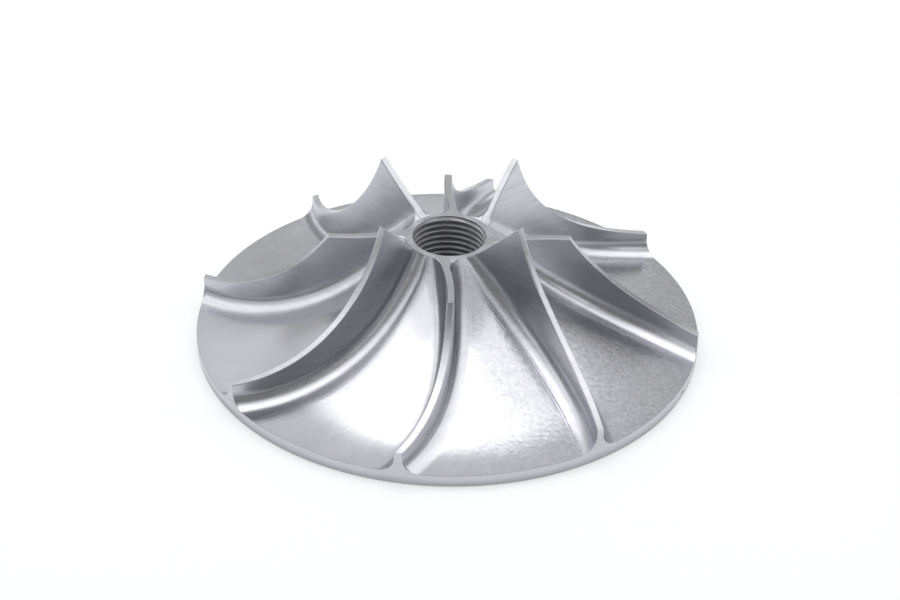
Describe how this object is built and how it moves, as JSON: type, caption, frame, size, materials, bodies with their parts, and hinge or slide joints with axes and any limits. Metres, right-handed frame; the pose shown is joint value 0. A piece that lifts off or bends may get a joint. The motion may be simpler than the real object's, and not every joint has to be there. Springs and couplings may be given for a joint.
{
  "type": "pump impeller",
  "caption": "Open pump impeller with swept full and low blades on a concave hub, a flat back face and a threaded centre bore.",
  "frame": {"origin": "on the axis of the bore, at the flat back face", "axes": "+Z along the axis from the back face towards the inlet, +X through the first low blade"},
  "size_m": [0.12, 0.12, 0.0396],
  "materials": {
    "milled_aluminium": "satin, with fine milling marks"
  },
  "bodies": {
    "root": {"impeller": "milled_aluminium"}
  },
  "joints": []
}
